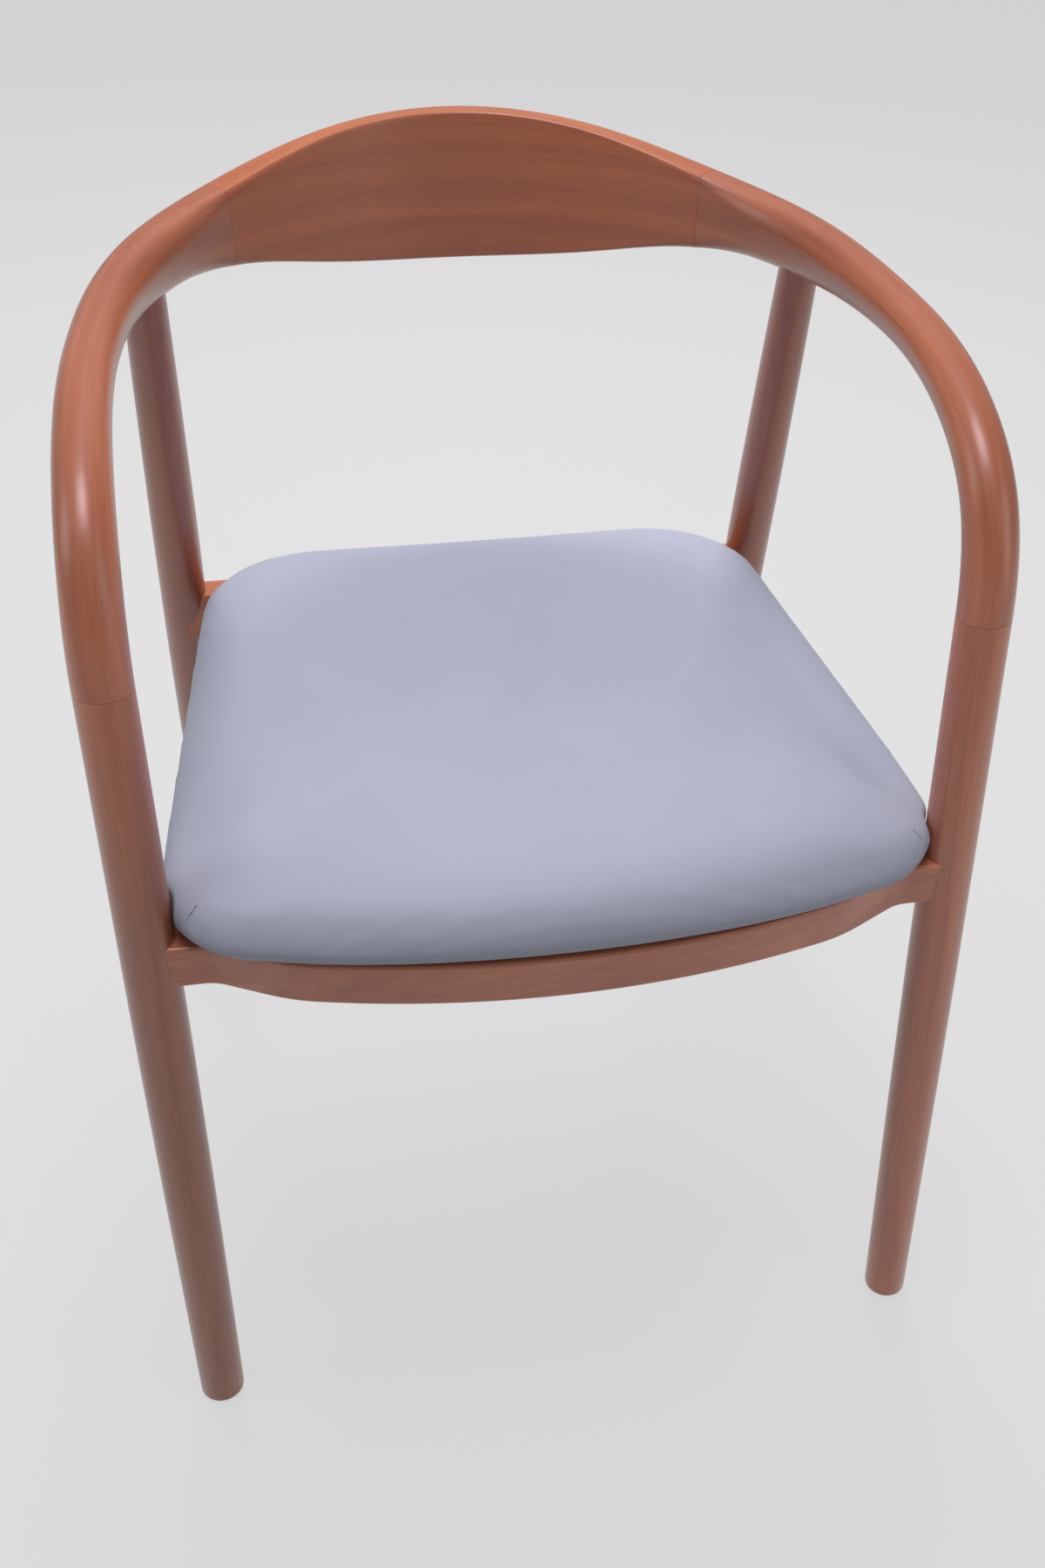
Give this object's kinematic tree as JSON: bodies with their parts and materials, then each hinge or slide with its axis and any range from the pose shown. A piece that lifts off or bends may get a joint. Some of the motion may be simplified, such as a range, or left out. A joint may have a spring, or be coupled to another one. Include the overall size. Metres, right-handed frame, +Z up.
{
  "type": "armchair",
  "caption": "Modern horseshoe back armchair: one continuous rail forms arms and backrest, turned splayed legs, bowed front rail and an upholstered drop-on seat.",
  "frame": {"origin": "centre of the footprint on the floor", "axes": "+Z up, -Y towards the chair's front, +X to the right as seen from the front; right and left in node names are as seen from the front"},
  "size_m": [0.5636, 0.616, 0.7626],
  "materials": {
    "timber": "stained and lacquered, satin",
    "dowel_timber": "raw beech",
    "plywood": "raw",
    "seat_leatherette": "smooth, semi-matt",
    "foam": "open cell foam",
    "dust_cloth": "non-woven cloth",
    "glide_plastic": "moulded",
    "screw_steel": "zinc plated"
  },
  "bodies": {
    "root": {"backrest": "timber", "arm_right": "timber", "arm_left": "timber", "front_leg_right": "timber", "front_leg_left": "timber", "rear_leg_right": "timber", "rear_leg_left": "timber", "front_rail": "timber", "rear_rail": "timber", "side_rail_right": "timber", "side_rail_left": "timber", "corner_block_front_right": "dowel_timber", "corner_block_front_left": "dowel_timber", "corner_block_rear_right": "dowel_timber", "corner_block_rear_left": "dowel_timber", "backrest_dowels": "dowel_timber", "arm_dowels": "dowel_timber", "front_rail_dowels": "dowel_timber", "rear_rail_dowels": "dowel_timber", "side_rail_dowels": "dowel_timber", "seat_board": "plywood", "seat_cover": "seat_leatherette", "seat_foam": "foam", "dust_cover": "dust_cloth", "floor_glides": "glide_plastic", "seat_screws": "screw_steel", "block_screws": "screw_steel", "glide_nails": "screw_steel"}
  },
  "joints": []
}
